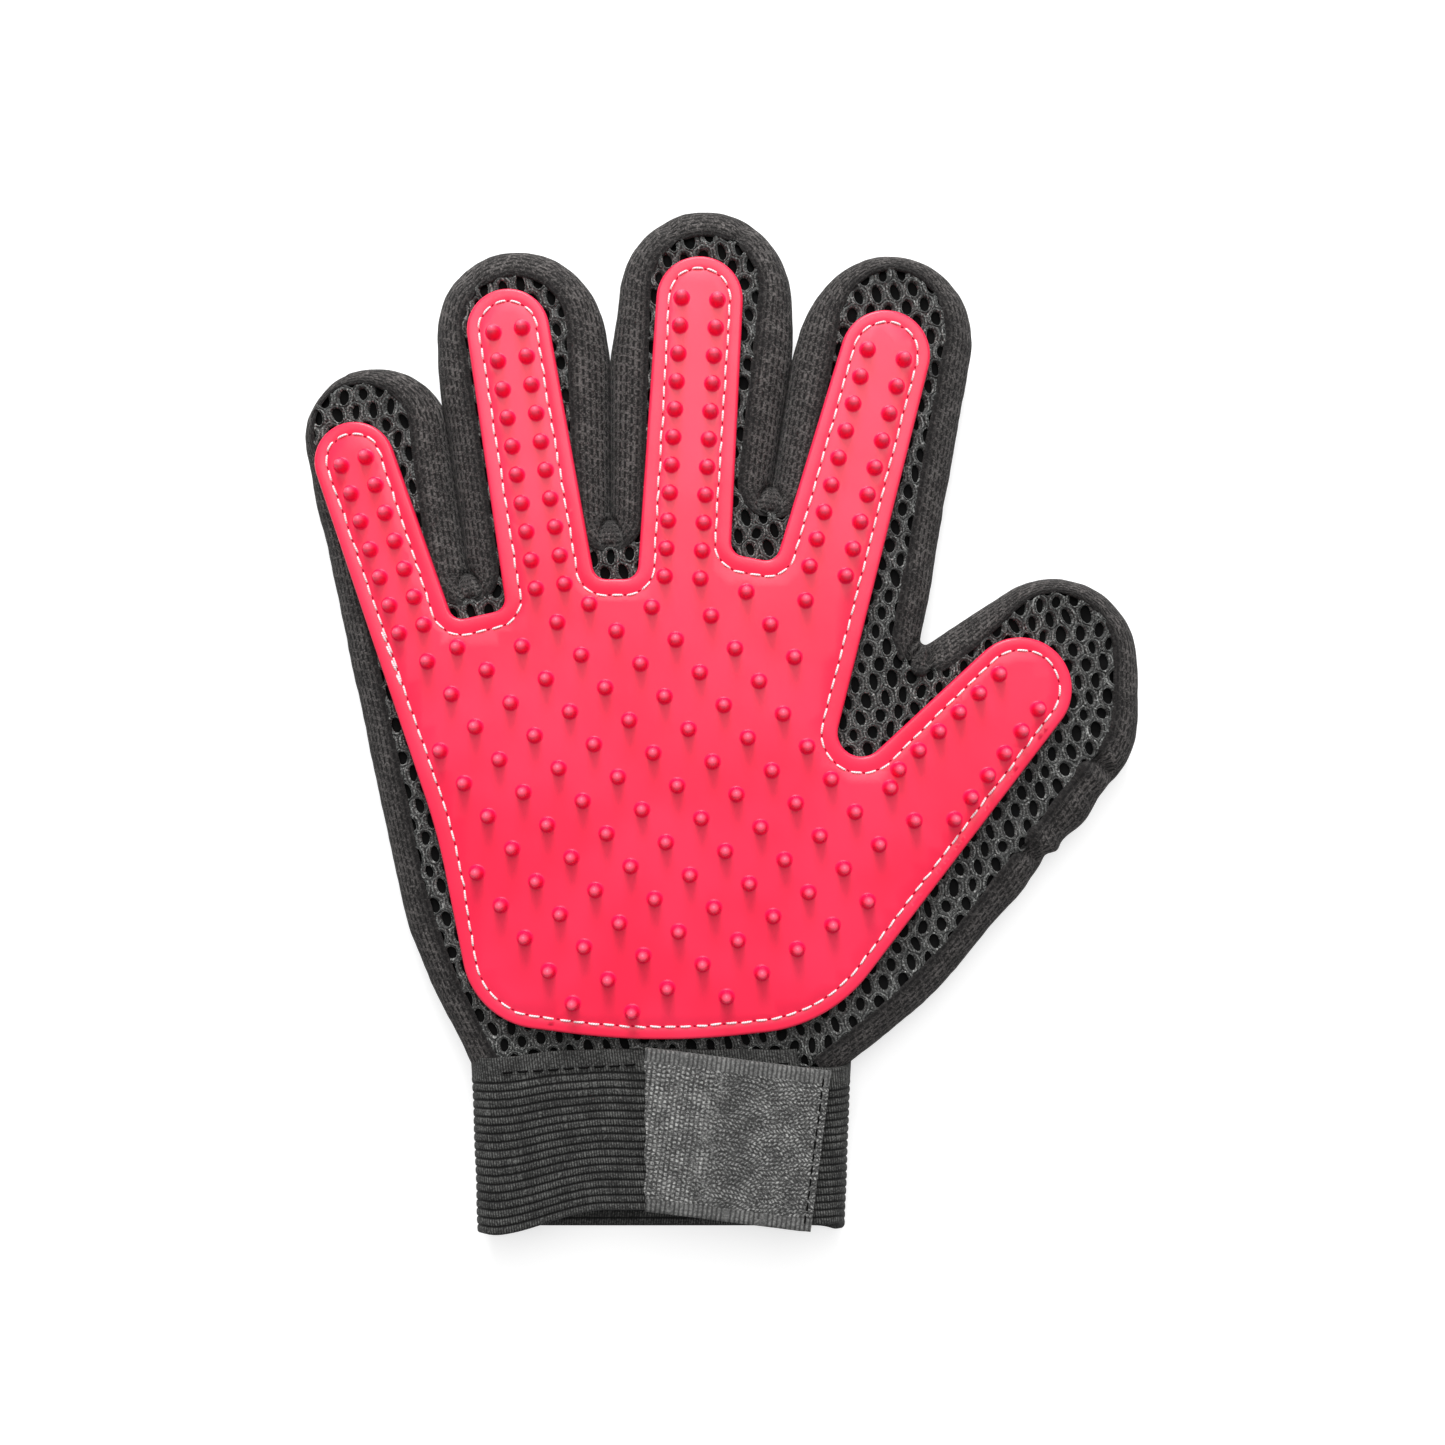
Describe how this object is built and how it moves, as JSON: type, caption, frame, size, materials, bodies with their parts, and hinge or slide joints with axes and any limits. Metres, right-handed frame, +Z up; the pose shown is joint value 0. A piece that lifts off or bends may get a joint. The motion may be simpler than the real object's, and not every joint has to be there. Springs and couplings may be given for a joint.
{
  "type": "pet grooming glove",
  "caption": "Five-finger mesh glove with a nubbed rubber palm pad for brushing loose hair from a pet, and an elastic cuff closed by a hook and loop strap.",
  "frame": {"origin": "under the middle of the palm, on the back panel's face that lies on the table", "axes": "+X towards the thumb, +Y towards the fingertips, +Z up out of the palm pad"},
  "size_m": [0.1897, 0.2344, 0.0191],
  "materials": {
    "pad_rubber": "satin moulded rubber, coral red",
    "spacer_mesh": "black open warp-knit mesh",
    "knit": "charcoal fine knit",
    "elastic": "black ribbed elastic webbing",
    "hook_tape": "grey woven hook tape with selvedges",
    "loop_fabric": "black brushed loop pile",
    "pale_thread": "pale pink sewing thread",
    "dark_thread": "black sewing thread"
  },
  "bodies": {
    "palm": {"back_mesh_panel": "spacer_mesh", "cuff_elastic": "elastic", "cuff_stitching": "dark_thread", "hook_tape_tail": "hook_tape", "index_thumb_web": "knit", "little_ring_web": "knit", "little_side_gusset": "knit", "loop_patch": "loop_fabric", "loop_patch_stitching": "dark_thread", "middle_index_web": "knit", "palm_mesh_panel": "spacer_mesh", "palm_pad": "pad_rubber", "palm_pad_stitching": "pale_thread", "ring_middle_web": "knit", "tail_stitching": "dark_thread", "thumb_side_gusset": "knit"},
    "little_finger": {"little_back_mesh": "spacer_mesh", "little_gusset": "knit", "little_pad": "pad_rubber", "little_pad_stitching": "pale_thread", "little_palm_mesh": "spacer_mesh"},
    "ring_finger": {"ring_back_mesh": "spacer_mesh", "ring_gusset": "knit", "ring_pad": "pad_rubber", "ring_pad_stitching": "pale_thread", "ring_palm_mesh": "spacer_mesh"},
    "middle_finger": {"middle_back_mesh": "spacer_mesh", "middle_gusset": "knit", "middle_pad": "pad_rubber", "middle_pad_stitching": "pale_thread", "middle_palm_mesh": "spacer_mesh"},
    "index_finger": {"index_back_mesh": "spacer_mesh", "index_gusset": "knit", "index_pad": "pad_rubber", "index_pad_stitching": "pale_thread", "index_palm_mesh": "spacer_mesh"},
    "thumb": {"thumb_back_mesh": "spacer_mesh", "thumb_gusset": "knit", "thumb_pad": "pad_rubber", "thumb_pad_stitching": "pale_thread", "thumb_palm_mesh": "spacer_mesh"},
    "strap": {"hook_tape": "hook_tape"}
  },
  "joints": [
    {"name": "little_bend", "type": "hinge", "parent": "palm", "child": "little_finger", "pos_m": [-0.05403, 0.04958, 0.0155], "axis": [0.9455, 0.3256, 0], "range_deg": [0, 65]},
    {"name": "ring_bend", "type": "hinge", "parent": "palm", "child": "ring_finger", "pos_m": [-0.02561, 0.06438, 0.0155], "axis": [0.9866, 0.1633, 0], "range_deg": [0, 65]},
    {"name": "middle_bend", "type": "hinge", "parent": "palm", "child": "middle_finger", "pos_m": [0.00747, 0.07198, 0.0155], "axis": [0.9981, -0.061, 0], "range_deg": [0, 65]},
    {"name": "index_bend", "type": "hinge", "parent": "palm", "child": "index_finger", "pos_m": [0.04182, 0.06637, 0.0155], "axis": [0.9659, -0.2588, 0], "range_deg": [0, 65]},
    {"name": "thumb_bend", "type": "hinge", "parent": "palm", "child": "thumb", "pos_m": [0.07507, 0.01637, 0.0155], "axis": [0.7455, -0.6665, 0], "range_deg": [0, 55]},
    {"name": "strap_peel", "type": "hinge", "parent": "palm", "child": "strap", "pos_m": [0.033, -0.0779, 0.0157], "axis": [0.1271, 0.9919, 0], "range_deg": [0, 170]}
  ]
}
